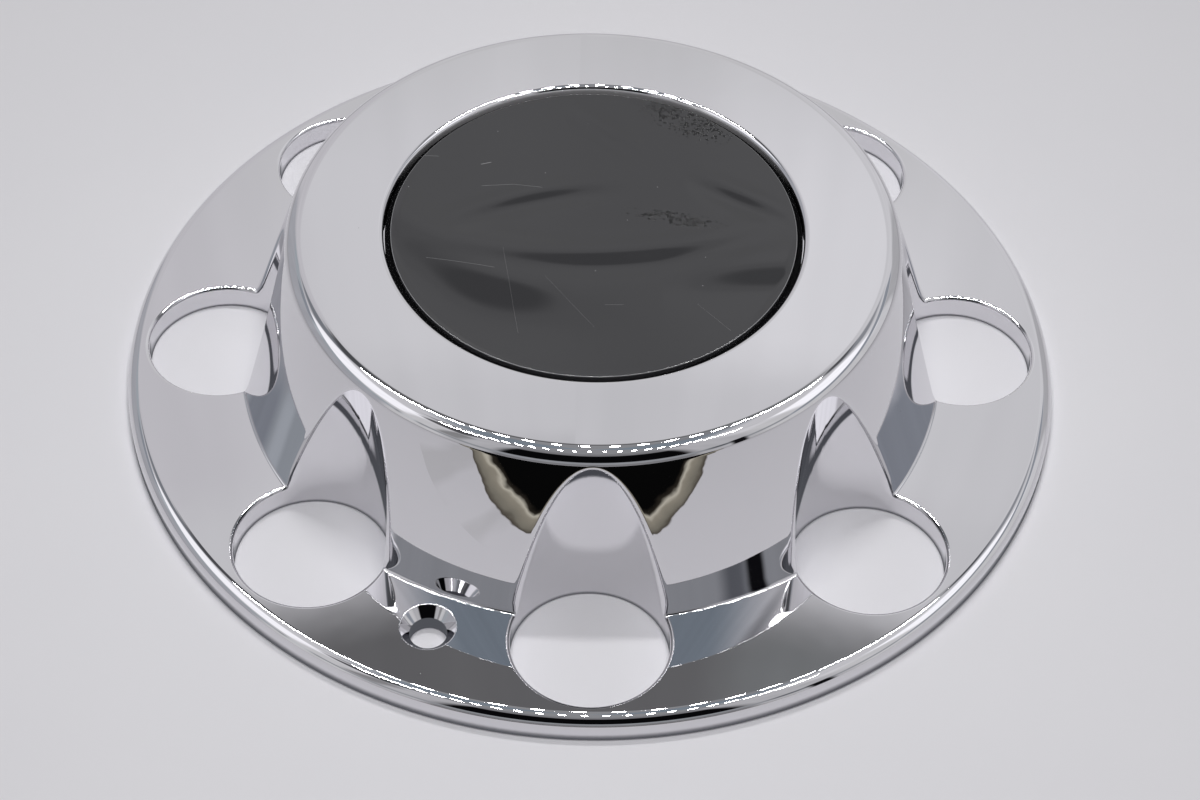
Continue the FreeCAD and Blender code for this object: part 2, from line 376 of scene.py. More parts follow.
def gloss_black_plastic(colours, radius):
    """Gloss black acrylic: a hard clear face over black print, with scratches, dust and specks of use."""
    # Its upper edge is broken, and a thin pale line painted just inside the rim is a painted highlight along
    # it.
    material, node, place = new_material("Gloss black acrylic")
    scratches = scratch_mask(node, place)
    specks = speck_mask(node, place)
    # One grain of dust of 0.25 mm about every 8 mm, and 14 mm clouds of wiping haze.
    dust = dust_mask(node, place, 8, 0.12)
    pale = node("ShaderNodeMath", {0: scratches, 1: dust}, operation="MAXIMUM")
    worn = node(
        "ShaderNodeMix", {0: pale, 6: (*colours.disc, 1.0), 7: (*colours.scratch, 1.0)}, data_type="RGBA"
    )
    specked = node("ShaderNodeMix", {0: specks, 6: worn, 7: "#0B0B0C"}, data_type="RGBA")
    # The painted highlight: a pale line just inside the rim, in the scratches' colour.
    reach = flat_length(node, place)
    edge_highlight = node(
        "ShaderNodeMath", {0: reach, 1: radius - EDGE_HIGHLIGHT[0], 2: EDGE_HIGHLIGHT[1]}, operation="COMPARE"
    )
    colour = node("ShaderNodeMix", {0: edge_highlight, 6: specked, 7: (*colours.scratch, 1.0)}, data_type="RGBA")
    haze = node("ShaderNodeTexNoise", {"Vector": place, "Scale": 1 / (14 * MM), "Detail": 3.0})
    gloss = node(
        "ShaderNodeMapRange",
        {"Value": haze, "From Min": 0.35, "From Max": 0.7, "To Min": 0.05, "To Max": 0.1},
    )
    roughness = node("ShaderNodeMath", {0: specks, 1: 0.5, 2: gloss}, operation="MULTIPLY_ADD")
    shader = node("ShaderNodeBsdfPrincipled", {"Base Color": colour, "Roughness": roughness, "IOR": 1.49})
    return show(material, shader)


def foam_tape(colours):
    """Closed-cell foam tape: cut black foam, matt, with the fine pits of its cells."""
    material, node, place = new_material("Black closed-cell foam")
    # Cells of 0.3 mm.
    cells = node("ShaderNodeTexVoronoi", {"Vector": place, "Scale": 1 / (0.3 * MM)})
    colour = node("ShaderNodeMix", {0: cells, 6: "#050506", 7: (*colours.foam, 1.0)}, data_type="RGBA")
    bump = node("ShaderNodeBump", {"Height": cells, "Distance": 0.05 * MM})
    shader = node(
        "ShaderNodeBsdfPrincipled",
        {"Base Color": colour, "Roughness": 0.95, "Specular IOR Level": 0.1, "Normal": bump},
    )
    return show(material, shader)


def cap_shape(sizes):
    """Places on the cap's section, worked out from its sizes. Heights are from the back plane."""
    pitch = sizes.lug_circle / 2
    flange = sizes.flange_height
    top = sizes.cap_height
    base = pitch - sizes.drum_inset
    slope = sizes.drum_lean / (top - flange)
    lean = math.atan(slope)
    turn = math.pi / 2 - lean
    foot = sizes.drum_base_round
    crown = sizes.drum_top_round
    crown_low = top - crown - flange
    wall_start = flange + foot * (1 - math.sin(lean))
    wall_end = top - crown * (1 - math.sin(lean))
    across = sizes.wall * math.sqrt(1 + slope ** 2)
    screw_circle = base + sizes.screw_gap + sizes.screw_sink
    return SimpleNamespace(
        half_step=math.pi / sizes.lug_count,
        pitch=pitch,
        lug=sizes.lug_radius,
        edge=sizes.lug_edge_round,
        lip=sizes.scallop_round,
        reach=sizes.lug_radius + sizes.lug_edge_round,
        rim=pitch + sizes.lug_radius + sizes.lug_edge_round + sizes.rim_land + sizes.rim_round,
        rim_round=sizes.rim_round,
        flange=flange,
        top=top,
        base=base,
        slope=slope,
        lean=lean,
        foot=foot,
        foot_middle=base + foot * (1 - math.sin(lean)) / math.cos(lean),
        crown=crown,
        crown_middle=base - (crown + crown_low * math.sin(lean)) / math.cos(lean),
        wall_start=wall_start,
        foot_length=foot * turn,
        wall_length=(wall_end - wall_start) / math.cos(lean),
        crown_length=crown * turn,
        recess=sizes.recess_radius,
        recess_round=sizes.recess_edge_round,
        recess_floor=top - sizes.recess_depth,
        wall=sizes.wall,
        collar=sizes.lug_radius + sizes.collar_wall,
        inside_base=base - across + slope * sizes.wall,
        inside_flange=flange - sizes.wall,
        inside_top=top - sizes.wall,
        screw_circle=screw_circle,
        screw_bore=sizes.screw_bore,
        screw_sink=sizes.screw_sink,
        screw_round=sizes.screw_edge_round,
        sink_half=sizes.sink_angle / 2,
        boss=sizes.screw_sink + sizes.boss_wall,
        broken=sizes.back_break,
    )


def drum_wall(shape, along):
    """Radius, height and outward normal of the drum, a length along its section from the flange."""
    if along < shape.foot_length:
        angle = math.pi / 2 - along / shape.foot
        normal = (math.cos(angle), math.sin(angle))
        radius = shape.foot_middle - shape.foot * normal[0]
        return radius, shape.flange + shape.foot - shape.foot * normal[1], normal
    along -= shape.foot_length
    if along <= shape.wall_length:
        height = shape.wall_start + along * math.cos(shape.lean)
        radius = shape.base - shape.slope * (height - shape.flange)
        return radius, height, (math.cos(shape.lean), math.sin(shape.lean))
    angle = min(shape.lean + (along - shape.wall_length) / shape.crown, math.pi / 2)
    normal = (math.cos(angle), math.sin(angle))
    radius = shape.crown_middle + shape.crown * normal[0]
    return radius, shape.top - shape.crown + shape.crown * normal[1], normal


def polar(radius, angle, height):
    """A point from its radius, its angle about the cap's axis and its height."""
    return Vector((radius * math.cos(angle), radius * math.sin(angle), height))


def meeting_angle(shape, radius, reach):
    """The angle at which a circle about the cap's axis meets one of radius reach about a lug opening."""
    cosine = (radius ** 2 + shape.pitch ** 2 - reach ** 2) / (2 * radius * shape.pitch)
    return math.acos(min(1.0, cosine))


def spread(start, end, steps):
    """Evenly spaced numbers from start to end, both included."""
    return [start + (end - start) * step / steps for step in range(steps + 1)]


def arc(radius, height, size, start, end, steps):
    """Radii and heights along a rounding of this size about a middle on the section."""
    return [
        (radius + size * math.cos(angle), height + size * math.sin(angle))
        for angle in spread(start, end, steps)
    ]


def ball_strip(shape, centre, normal, size):
    """The rounding's arc where a ball that rolls round a lug's edge touches the face and the bore."""
    inward = Vector((shape.pitch - centre.x, -centre.y, 0.0)).normalized()
    return [centre + size * normal.slerp(inward, part) for part in spread(0.0, 1.0, EDGE_STEPS)]


def lip_size(shape, along):
    """The ball's size at a length along the drum: it swells from the flange's to the scallop's."""
    part = min(1.0, along / (shape.foot_length + LIP_RUN))
    return shape.edge + (shape.lip - shape.edge) * part ** 2 * (3 - 2 * part)


def lug_path(shape):
    """The rounding's arcs on the flange and on the drum, and the lengths and angles of those on the drum."""
    corner = (shape.foot_middle ** 2 - shape.pitch ** 2 - shape.reach ** 2) / (2 * shape.pitch * shape.reach)
    on_flange = []
    for angle in spread(0.0, math.acos(corner), LUG_STEPS):
        x = shape.pitch + shape.reach * math.cos(angle)
        centre = Vector((x, shape.reach * math.sin(angle), shape.flange - shape.edge))
        on_flange.append(ball_strip(shape, centre, Vector((0, 0, 1)), shape.edge))
    low, high = shape.foot_length, shape.foot_length + shape.wall_length + shape.crown_length
    for _ in range(HALVINGS):
        apex = (low + high) / 2
        radius, _, normal = drum_wall(shape, apex)
        if radius - shape.lip * normal[0] > shape.pitch - shape.lug - shape.lip:
            low = apex
        else:
            high = apex
    lengths = spread(0.0, shape.foot_length, EDGE_STEPS)[:-1]
    lengths += [apex - (apex - shape.foot_length) * part ** 2 for part in spread(1.0, 0.0, WALL_STEPS)]
    on_drum, starts = [], []
    for along in lengths:
        radius, height, normal = drum_wall(shape, along)
        size = lip_size(shape, along)
        inset = radius - size * normal[0]
        angle = meeting_angle(shape, inset, shape.lug + size)
        centre = polar(inset, angle, height - size * normal[1])
        on_drum.append(ball_strip(shape, centre, polar(normal[0], angle, normal[1]), size))
        starts.append(angle)
    return on_flange, on_drum, lengths, starts[:-1] + [0.0]


class Skin:
    """Gathers the faces of half a lug spacing; corners that touch are welded at the end."""

    def __init__(self):
        self.mesh = bmesh.new()
        self.dull = self.mesh.faces.layers.float.new("dull")

    def face(self, points, dull=0.0):
        """One flat face."""
        made = self.mesh.faces.new([self.mesh.verts.new(point) for point in points])
        made[self.dull] = dull

    def grid(self, rows, dull=0.0):
        """Faces between rows of points."""
        for lower, upper in zip(rows, rows[1:]):
            for column in range(len(lower) - 1):
                self.face((lower[column], lower[column + 1], upper[column + 1], upper[column]), dull)


def ring(shape, radius, height, start=0.0):
    """Points round half a lug spacing."""
    return [polar(radius, angle, height) for angle in spread(start, shape.half_step, COLUMNS)]


def back_edge(shape):
    """The rounded edge at the back: how far it turns away from an upright wall, and its heights."""
    return [
        (shape.broken * (1 - math.cos(angle)), shape.broken * (1 - math.sin(angle)))
        for angle in spread(0.0, math.pi / 2, SMALL_STEPS)
    ]


def about_lug(shape, point, radius, height):
    """A point at this radius about the lug opening's axis, in the direction of another."""
    away = Vector((point.x - shape.pitch, point.y, 0.0)).normalized() * radius
    return Vector((shape.pitch + away.x, away.y, height))


def screw_arc(shape, radius, height):
    """Half a circle about the screw, on this side of the half spacing's line, from outside in."""
    out = polar(1.0, shape.half_step, 0.0)
    side = Vector((out.y, -out.x, 0.0))
    middle = out * shape.screw_circle + Vector((0, 0, height))
    return [
        middle + radius * (math.cos(angle) * out + math.sin(angle) * side)
        for angle in spread(0.0, math.pi, SCREW_STEPS)
    ]


def sink_section(shape):
    """The countersink's section from the flange's face down: distance from the screw's axis and height."""
    lean = (math.cos(shape.sink_half), math.sin(shape.sink_half))
    middle = shape.screw_sink + shape.screw_round * (1 - lean[1]) / lean[0]
    size = shape.screw_round
    section = arc(middle, shape.flange - size, size, math.pi / 2, math.pi - shape.sink_half, SMALL_STEPS)
    depth = (shape.screw_sink - shape.screw_bore) / math.tan(shape.sink_half)
    return section + [(shape.screw_bore, shape.flange - depth), (shape.screw_bore, 0.0)]


def cover_front(skin, shape, drilled):
    """The plated front: rim, flange, rounded lug edge, bore, drum, top ring and recess."""
    on_flange, on_drum, lengths, starts = lug_path(shape)
    strips = on_flange[:-1] + on_drum
    skin.grid(strips)
    bore = [[strip[-1] for strip in strips]]
    for out, height in back_edge(shape):
        bore.append([about_lug(shape, point, shape.lug + out, height) for point in bore[0]])
    skin.grid(bore)
    end = shape.foot_length + shape.wall_length + shape.crown_length
    rows = []
    above = spread(lengths[-1], end, CROWN_STEPS)[1:]
    for along, start in zip(lengths + above, starts + [0.0] * CROWN_STEPS):
        radius, height, _ = drum_wall(shape, along)
        rows.append(ring(shape, radius, height, start))
    skin.grid(rows)
    size = shape.rim_round
    section = arc(shape.rim - size, shape.flange - size, size, math.pi / 2, 0.0, RIM_STEPS)
    rim = [ring(shape, *step) for step in section]
    rim += [ring(shape, shape.rim - out, height) for out, height in back_edge(shape)]
    skin.grid(rim)
    hole = []
    if drilled:
        section = sink_section(shape)
        skin.grid([screw_arc(shape, *step) for step in section])
        hole = screw_arc(shape, *section[0])
    face_edge = [strip[0] for strip in on_flange[:-1]]
    skin.face([face_edge[0]] + rim[0] + hole + rows[0][::-1] + face_edge[:0:-1])
    size = shape.recess_round
    section = arc(shape.recess + size, shape.top - size, size, math.pi / 2, math.pi, EDGE_STEPS)
    recess = [ring(shape, *step) for step in [(shape.crown_middle, shape.top)] + section]
    skin.grid(recess[:-2])
    floor = ring(shape, shape.recess, shape.recess_floor)
    skin.grid(recess[-3:] + [floor], dull=-1.0)
    skin.face(floor + [Vector((0, 0, shape.recess_floor))])
    return bore[-1], rim[-1]


def cover_back(skin, shape, drilled, bore, rim):
    """The hollow back: rim wall, collar, screw boss, inside of the drum and of the recess."""
    inside_rim = shape.rim - shape.wall
    rim_angle = meeting_angle(shape, inside_rim, shape.collar)

    def cone(height):
        return shape.inside_base - shape.slope * (height - shape.inside_flange)

    apex = shape.inside_flange + (shape.inside_base - shape.pitch + shape.collar) / shape.slope
    heights = [apex - (apex - shape.inside_flange) * part ** 2 for part in spread(1.0, 0.0, WALL_STEPS)]
    collar_edge = [polar(cone(z), meeting_angle(shape, cone(z), shape.collar), z) for z in heights]
    rim_point = polar(inside_rim, rim_angle, shape.inside_flange)
    first = math.atan2(rim_point.y, rim_point.x - shape.pitch)
    last = math.atan2(collar_edge[0].y, collar_edge[0].x - shape.pitch)
    collar = []
    for angle in spread(first, last, LUG_STEPS)[:-1]:
        x = shape.pitch + shape.collar * math.cos(angle)
        collar.append(Vector((x, shape.collar * math.sin(angle), shape.inside_flange)))
    collar_top = collar + collar_edge
    collar_low = [Vector((point.x, point.y, 0.0)) for point in collar_top]
    skin.grid([collar_top, collar_low], dull=1.0)
    rim_high = ring(shape, inside_rim, shape.inside_flange, rim_angle)
    rim_low = ring(shape, inside_rim, 0.0, rim_angle)
    skin.grid([rim_high, rim_low], dull=1.0)
    rows = []
    for z in heights + spread(apex, shape.inside_top, SMALL_STEPS)[1:]:
        start = meeting_angle(shape, cone(z), shape.collar) if z < apex else 0.0
        rows.append(ring(shape, cone(z), z, start))
    skin.grid(rows, dull=1.0)
    around = shape.recess + shape.wall
    under = shape.recess_floor - shape.wall
    inner = [rows[-1], ring(shape, around, shape.inside_top), ring(shape, around, under)]
    skin.grid(inner, dull=1.0)
    skin.face(inner[-1] + [Vector((0, 0, under))], dull=1.0)
    boss = []
    if drilled:
        boss = screw_arc(shape, shape.boss, shape.inside_flange)
        boss_low = screw_arc(shape, shape.boss, 0.0)
        skin.grid([boss, boss_low], dull=1.0)
        skin.face(boss_low + screw_arc(shape, shape.screw_bore, 0.0)[::-1], dull=1.0)
    skin.face(rim_high + boss + rows[0][::-1] + collar[:0:-1], dull=1.0)
    skin.face(rim + rim_low[::-1] + collar_low[1:] + bore[::-1], dull=1.0)


def lug_sector(shape, drilled):
    """One lug spacing of the moulding, from the middle of one opening to the middle of the next."""
    skin = Skin()
    bore, rim = cover_front(skin, shape, drilled)
    cover_back(skin, shape, drilled, bore, rim)
    made = skin.mesh
    copied = bmesh.ops.duplicate(made, geom=made.verts[:] + made.edges[:] + made.faces[:])
    corners = [item for item in copied["geom"] if isinstance(item, bmesh.types.BMVert)]
    double = 2 * shape.half_step
    flip = Matrix.Identity(4)
    flip[0][0], flip[0][1] = math.cos(double), math.sin(double)
    flip[1][0], flip[1][1] = math.sin(double), -math.cos(double)
    bmesh.ops.transform(made, matrix=flip, verts=corners)
    bmesh.ops.remove_doubles(made, verts=made.verts[:], dist=WELD)
    bmesh.ops.recalc_face_normals(made, faces=made.faces[:])
    highest = max(made.faces, key=lambda face: face.calc_center_median().z)
    if highest.normal.z < 0:
        bmesh.ops.reverse_faces(made, faces=made.faces[:])
    mark_sharp(made)
    return take_mesh(made, "drilled_sector" if drilled else "plain_sector")


def ring_of_sectors(material):
    """A tree that sets the sectors round the axis, a drilled one where each screw goes, and welds them."""
    tree, node, given = new_tree("Ring of lug sectors", {
        "Geometry": "Geometry",
        "Drilled sector": "Object",
        "Lug count": "Int",
        "Lugs per screw": "Int",
        "First angle": "Float",
        "Weld distance": "Float",
    })
    step = node("ShaderNodeMath", {0: math.tau, 1: given["Lug count"]}, operation="DIVIDE")
    index = node("GeometryNodeInputIndex").outputs["Index"]
    angle = node("ShaderNodeMath", {0: index, 1: step, 2: given["First angle"]}, operation="MULTIPLY_ADD")
    turn = node("ShaderNodeCombineXYZ", {"Z": angle})
    places = node("GeometryNodeMeshLine", {"Count": given["Lug count"], "Offset": (0, 0, 0)})
    share = node("ShaderNodeMath", {0: index, 1: given["Lugs per screw"]}, operation="MODULO")
    holds_screw = node("ShaderNodeMath", {0: share, 1: 0.5}, operation="LESS_THAN")
    no_screw = node("ShaderNodeMath", {0: 1.0, 1: holds_screw}, operation="SUBTRACT")
    drilled = node("GeometryNodeObjectInfo", {"Object": given["Drilled sector"]})
    rings = []
    for sector, chosen in (
        (given["Geometry"], no_screw),
        (drilled.outputs["Geometry"], holds_screw),
    ):
        instances = node(
            "GeometryNodeInstanceOnPoints",
            {"Points": places, "Selection": chosen, "Instance": sector, "Rotation": turn},
        )
        rings.append(instances)
    joined = node("GeometryNodeJoinGeometry", {"Geometry": rings})
    real = node("GeometryNodeRealizeInstances", {"Geometry": joined})
    welded = node("GeometryNodeMergeByDistance", {"Geometry": real, "Distance": given["Weld distance"]})
    smooth = node("GeometryNodeSetShadeSmooth", {"Geometry": welded, "Shade Smooth": True})
    plated = node("GeometryNodeSetMaterial", {"Geometry": smooth, "Material": material})
    node("NodeGroupOutput", {"Geometry": plated})
    return tree


def set_inputs(modifier, values):
    """Set a tree's inputs on its modifier, by the identifiers of their sockets."""
    for item in modifier.node_group.interface.items_tree:
        if item.in_out == "INPUT" and item.name in values:
            modifier[item.identifier] = values[item.name]


class CENTERCAP_OT_cap_body(bpy.types.Operator):
    """Build the plated moulding from its lug sectors"""

    bl_idname = "centercap.cap_body"
    bl_label = "Cap Body"

    def execute(self, context):
        sizes = context.scene.cap_sizes
        shape = cap_shape(sizes)
        body = new_object("plated_cap", lug_sector(shape, False))
        drilled = new_object("drilled_sector", lug_sector(shape, True))
        repeat = body.modifiers.new("Ring of sectors", "NODES")
        repeat.node_group = ring_of_sectors(plated_plastic(context.scene.cap_colours))
        set_inputs(repeat, {
            "Drilled sector": drilled,
            "Lug count": sizes.lug_count,
            "Lugs per screw": sizes.lug_count // sizes.screw_count,
            "First angle": -math.pi / 2 - 2 * shape.half_step,
            "Weld distance": WELD,
        })
        shading = body.modifiers.new("Flat faces lead", "WEIGHTED_NORMAL")
        shading.keep_sharp = True
        settle(body)
        bpy.data.objects.remove(drilled)
        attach(body, "root")
        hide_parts("cap_body")
        return {"FINISHED"}


# Soft ripples of the disc's thin face, in mm: where each starts and ends along X, its line's three
# coefficients from its start, its height and its width.
RIPPLES = (
    (-40.0, 44.0, (-2.15, -0.4186, 0.00581), 0.66, 4.2),
    (-34.0, 8.0, (-0.4, 0.61, -0.0070), 0.46, 3.2),
    (20.0, 44.0, (16.8, -0.58, 0.0), 0.48, 3.4),
    (-64.0, -4.0, (22.1, -1.47, 0.0130), 1.40, 11.0),
    (14.0, 66.0, (-15.7, 0.08, 0.0), 0.84, 7.0),
    (-62.0, 12.0, (-24.0, 0.0, 0.0), 0.60, 13.0),
    (-6.0, 12.0, (38.0, -0.9, 0.0), 0.28, 3.4),
)
# The ripples die out this close to the disc's edge, in mm.
CALM_EDGE = 1.2
# The face is drawn lower by this much, so the ripples' crests stay under the ring's top.
CREST_ROOM = 0.16 * MM


def overlay_height(x, y, reach):
    """How far the face's soft ripples lift it at a place on the disc, in metres."""
    calm = min(1.0, (reach - math.hypot(x, y)) / (CALM_EDGE * MM))
    x, y = x / MM, y / MM
    height = 0.0
    for start, end, (offset, slope, bend), rise, width in RIPPLES:
        if start < x < end:
            along = x - start
            away = (y - offset - slope * along - bend * along ** 2) / width
            taper = math.sin(math.pi * along / (end - start))
            height += rise * taper * away * math.exp(-away ** 2)
    return height * calm * MM


class CENTERCAP_OT_adhesive_pad(bpy.types.Operator):
    """Finish the foam pad that shows in the groove round the disc"""

    bl_idname = "centercap.adhesive_pad"
    bl_label = "Adhesive Pad"

    def execute(self, context):
        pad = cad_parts["adhesive_pad"]
        material = foam_tape(context.scene.cap_colours)
        for place in pad.material_slots:
            place.material = material
        return {"FINISHED"}


class CENTERCAP_OT_emblem_disc(bpy.types.Operator):
    """Build the gloss black disc in the recess, with the soft ripples of its overlay"""

    bl_idname = "centercap.emblem_disc"
    bl_label = "Emblem Disc"

    def execute(self, context):
        sizes = context.scene.cap_sizes
        low, high = DISC_LOW.z, DISC_HIGH.z - CREST_ROOM
        edge = sizes.disc_edge_round
        flat = sizes.disc_radius - edge
        section = [(0.0, low), (sizes.disc_radius, low)]
        section += arc(flat, high - edge, edge, 0.0, math.pi / 2, DISC_EDGE_STEPS)
        section += [(radius, high) for radius in spread(flat - FIRST_RING, 0.0, DISC_RINGS)]
        made = bmesh.new()
        points = [made.verts.new((radius, 0.0, height)) for radius, height in section]
        edges = [made.edges.new(pair) for pair in zip(points, points[1:])]
        bmesh.ops.spin(
            made,
            geom=points + edges,
            cent=(0, 0, 0),
            axis=(0, 0, 1),
            angle=math.tau,
            steps=DISC_SPOKES,
            use_merge=True,
        )
        bmesh.ops.remove_doubles(made, verts=made.verts[:], dist=WELD)
        bmesh.ops.recalc_face_normals(made, faces=made.faces[:])
        for corner in made.verts:
            if corner.co.z > high - WELD and corner.co.xy.length < flat - WELD:
                corner.co.z += overlay_height(corner.co.x, corner.co.y, flat)
        for face in made.faces:
            face.smooth = True
        mark_sharp(made)
        disc = new_object("emblem", take_mesh(made, "emblem"))
        disc.data.materials.append(gloss_black_plastic(context.scene.cap_colours, sizes.disc_radius))
        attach(disc, "root")
        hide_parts("emblem_disc")
        return {"FINISHED"}


def plain_sheet(name, low, high, height, material):
    """A level sheet of the studio between two corners."""
    mesh = bpy.data.meshes.new(name)
    corners = ((low[0], low[1]), (high[0], low[1]), (high[0], high[1]), (low[0], high[1]))
    mesh.from_pydata([(x, y, height) for x, y in corners], [], [(0, 1, 2, 3)])
    mesh.materials.append(material)
    obj = new_object(name, mesh)
    return obj


def reflected_only(obj):
    """Show a sheet only in mirrors: it is outside the picture and lights nothing else."""
    for ray in ("camera", "diffuse", "shadow", "transmission", "volume_scatter"):
        setattr(obj, "visible_" + ray, False)


# What mirrors see of the tent, each patch over the ones before it: a hex colour at half its light, the range
# of angles round from the front, the range of heights, and the widths of its soft edges, in degrees.
TENT_PATCHES = (
    ("#9E9E9F", (-180, 180), (-10, 41), (0, 6)),
    ("#9A999C", (-163, -100), (-10, 91), (12, 12)),
    ("#A4A4A6", (100, 161), (-10, 91), (12, 12)),
    ("#AFAFB1", (161, 172), (41, 91), (10, 10)),
    ("#8C8C8E", (-140, 140), (58, 91), (14, 8)),
    ("#9F9FA1", (-180, 180), (51, 91), (0, 3)),
    ("#4D4D4E", (-181, -134), (55.7, 66), (12, 4.4)),
    ("#4D4D4E", (140, 181), (56.3, 66), (12, 4.4)),
    ("#5B5D5E", (142, 168), (57, 66), (8, 4)),
    ("#616970", (-180, 180), (70, 91), (0, 10)),
    ("#6E6F71", (150, 181), (66, 91), (8, 6)),
    ("#6E6F71", (-181, -150), (66, 91), (8, 6)),
    ("#6E6F71", (-50, 50), (62, 91), (10, 6)),
    ("#66676A", (120, 158), (66, 77), (10, 5)),
    ("#66676A", (-80, -30), (60, 69), (8, 5)),
    ("#5E6165", (-136, -117), (40, 55), (5, 5)),
    ("#3A3B3D", (-150, -120), (52, 60), (6, 4)),
    ("#6E7074", (116, 136), (42, 55), (8, 6)),
    ("#3E3F41", (121, 137), (51.5, 57), (5, 3)),
    ("#CCCCCF", (-115, -62), (27, 51), (6, 5)),
    ("#D0D0D3", (70, 109), (24, 49), (6, 5)),
    ("#3E3E40", (-66, -45), (47, 62), (6, 5)),
    ("#8E8E90", (-46, 52), (-10, 62), (8, 5)),
    ("#6B6B6C", (-49, -41), (20, 46), (4, 6)),
    ("#626264", (-30, 32), (-10, 64), (5, 4)),
    ("#050506", (-28, 30), (14, 53), (3, 4)),
)
# A low band of bluish shade runs round the tent: its height in front, where it starts to climb and where it
# ends its climb towards the back. Its patches have heights from its middle line.
BAND_FRONT = (60, 15.5)
BAND_BACK = (140, 37.5)
BAND_PATCHES = (
    ("#818286", (-140, -66), (-60, 1), (6, 3)),
    ("#88888A", (114, 138), (-60, -4), (6, 4)),
    ("#737578", (-64, 64), (-3.5, 3.5), (4, 2)),
    ("#7E8387", (-140, -64), (-3.5, 3.5), (4, 2)),
    ("#6C7076", (-124, -108), (-3.5, 3.5), (4, 2)),
    ("#8A8F93", (-106, -100), (-3.5, 3.5), (3, 2)),
    ("#70747A", (64, 131), (-3.5, 3.5), (4, 2)),
    ("#9A9C9E", (-61, -55), (-3.5, 3.5), (3, 2)),
    ("#4A4C50", (36, 43), (-3.5, 3.5), (5, 2)),
    ("#0A0A0C", (43, 48), (-16, 5), (2, 2)),
)


def paint_patch(node, colour, patch, round_angle, up_angle):
    """Lay one soft-edged patch of a tent over the colours before it."""
    code, across, height, softness = patch
    cover = 1.0
    for angle, (start, end), soft in zip((round_angle, up_angle), (across, height), softness):
        for limit, side in ((start, 1), (end, -1)):
            if abs(limit) >= 180:
                continue
            step = node(
                "ShaderNodeMapRange",
                {
                    "Value": angle,
                    "From Min": math.radians(limit - side * soft / 2),
                    "From Max": math.radians(limit + side * soft / 2),
                },
                interpolation_type="SMOOTHSTEP",
            )
            cover = node("ShaderNodeMath", {0: step, 1: cover}, operation="MULTIPLY")
    return node("ShaderNodeMix", {0: cover, 6: colour, 7: code}, data_type="RGBA")


def tent_cloth():
    """The tent's cloth and its open front, glowing in patches by direction."""
    material, node, place = new_material("Tent cloth")
    parts = node("ShaderNodeSeparateXYZ", {"Vector": place}).outputs
    back = node("ShaderNodeMath", {0: parts["Y"], 1: -1.0}, operation="MULTIPLY")
    reach = flat_length(node, place)
    round_angle = node("ShaderNodeMath", {0: parts["X"], 1: back}, operation="ARCTAN2")
    up_angle = node("ShaderNodeMath", {0: parts["Z"], 1: reach}, operation="ARCTAN2")
    either_side = node("ShaderNodeMath", {0: round_angle}, operation="ABSOLUTE")
    band_line = node(
        "ShaderNodeMapRange",
        {
            "Value": either_side,
            "From Min": math.radians(BAND_FRONT[0]),
            "From Max": math.radians(BAND_BACK[0]),
            "To Min": math.radians(BAND_FRONT[1]),
            "To Max": math.radians(BAND_BACK[1]),
        },
    )
    off_band = node("ShaderNodeMath", {0: up_angle, 1: band_line}, operation="SUBTRACT")
    colour = "#A6A6A8"
    for patches, height in ((TENT_PATCHES, up_angle), (BAND_PATCHES, off_band)):
        for patch in patches:
            colour = paint_patch(node, colour, patch, round_angle, height)
    # Upright folds about 5 degrees apart.
    fold_place = node("ShaderNodeCombineXYZ", {"X": round_angle, "Z": up_angle})
    folds = node(
        "ShaderNodeMapping",
        {"Vector": fold_place, "Scale": (1 / math.radians(5), 1.0, 1 / math.radians(30))},
    )
    tone = node("ShaderNodeTexNoise", {"Vector": folds, "Scale": 1.0, "Detail": 2.0})
    strength = node(
        "ShaderNodeMapRange", {"Value": tone, "From Min": 0.3, "From Max": 0.7, "To Min": 1.9, "To Max": 2.1}
    )
    # Light that the plating throws onto the table counts for more, as the lamps would add to it there.
    path = node("ShaderNodeLightPath")
    thrown = node(
        "ShaderNodeMapRange", {"Value": path.outputs["Diffuse Depth"], "To Min": 1.0, "To Max": 2.2}
    )
    power = node("ShaderNodeMath", {0: strength, 1: thrown}, operation="MULTIPLY")
    light = node("ShaderNodeEmission", {"Color": colour, "Strength": power})
    return show(material, light, glows=True)


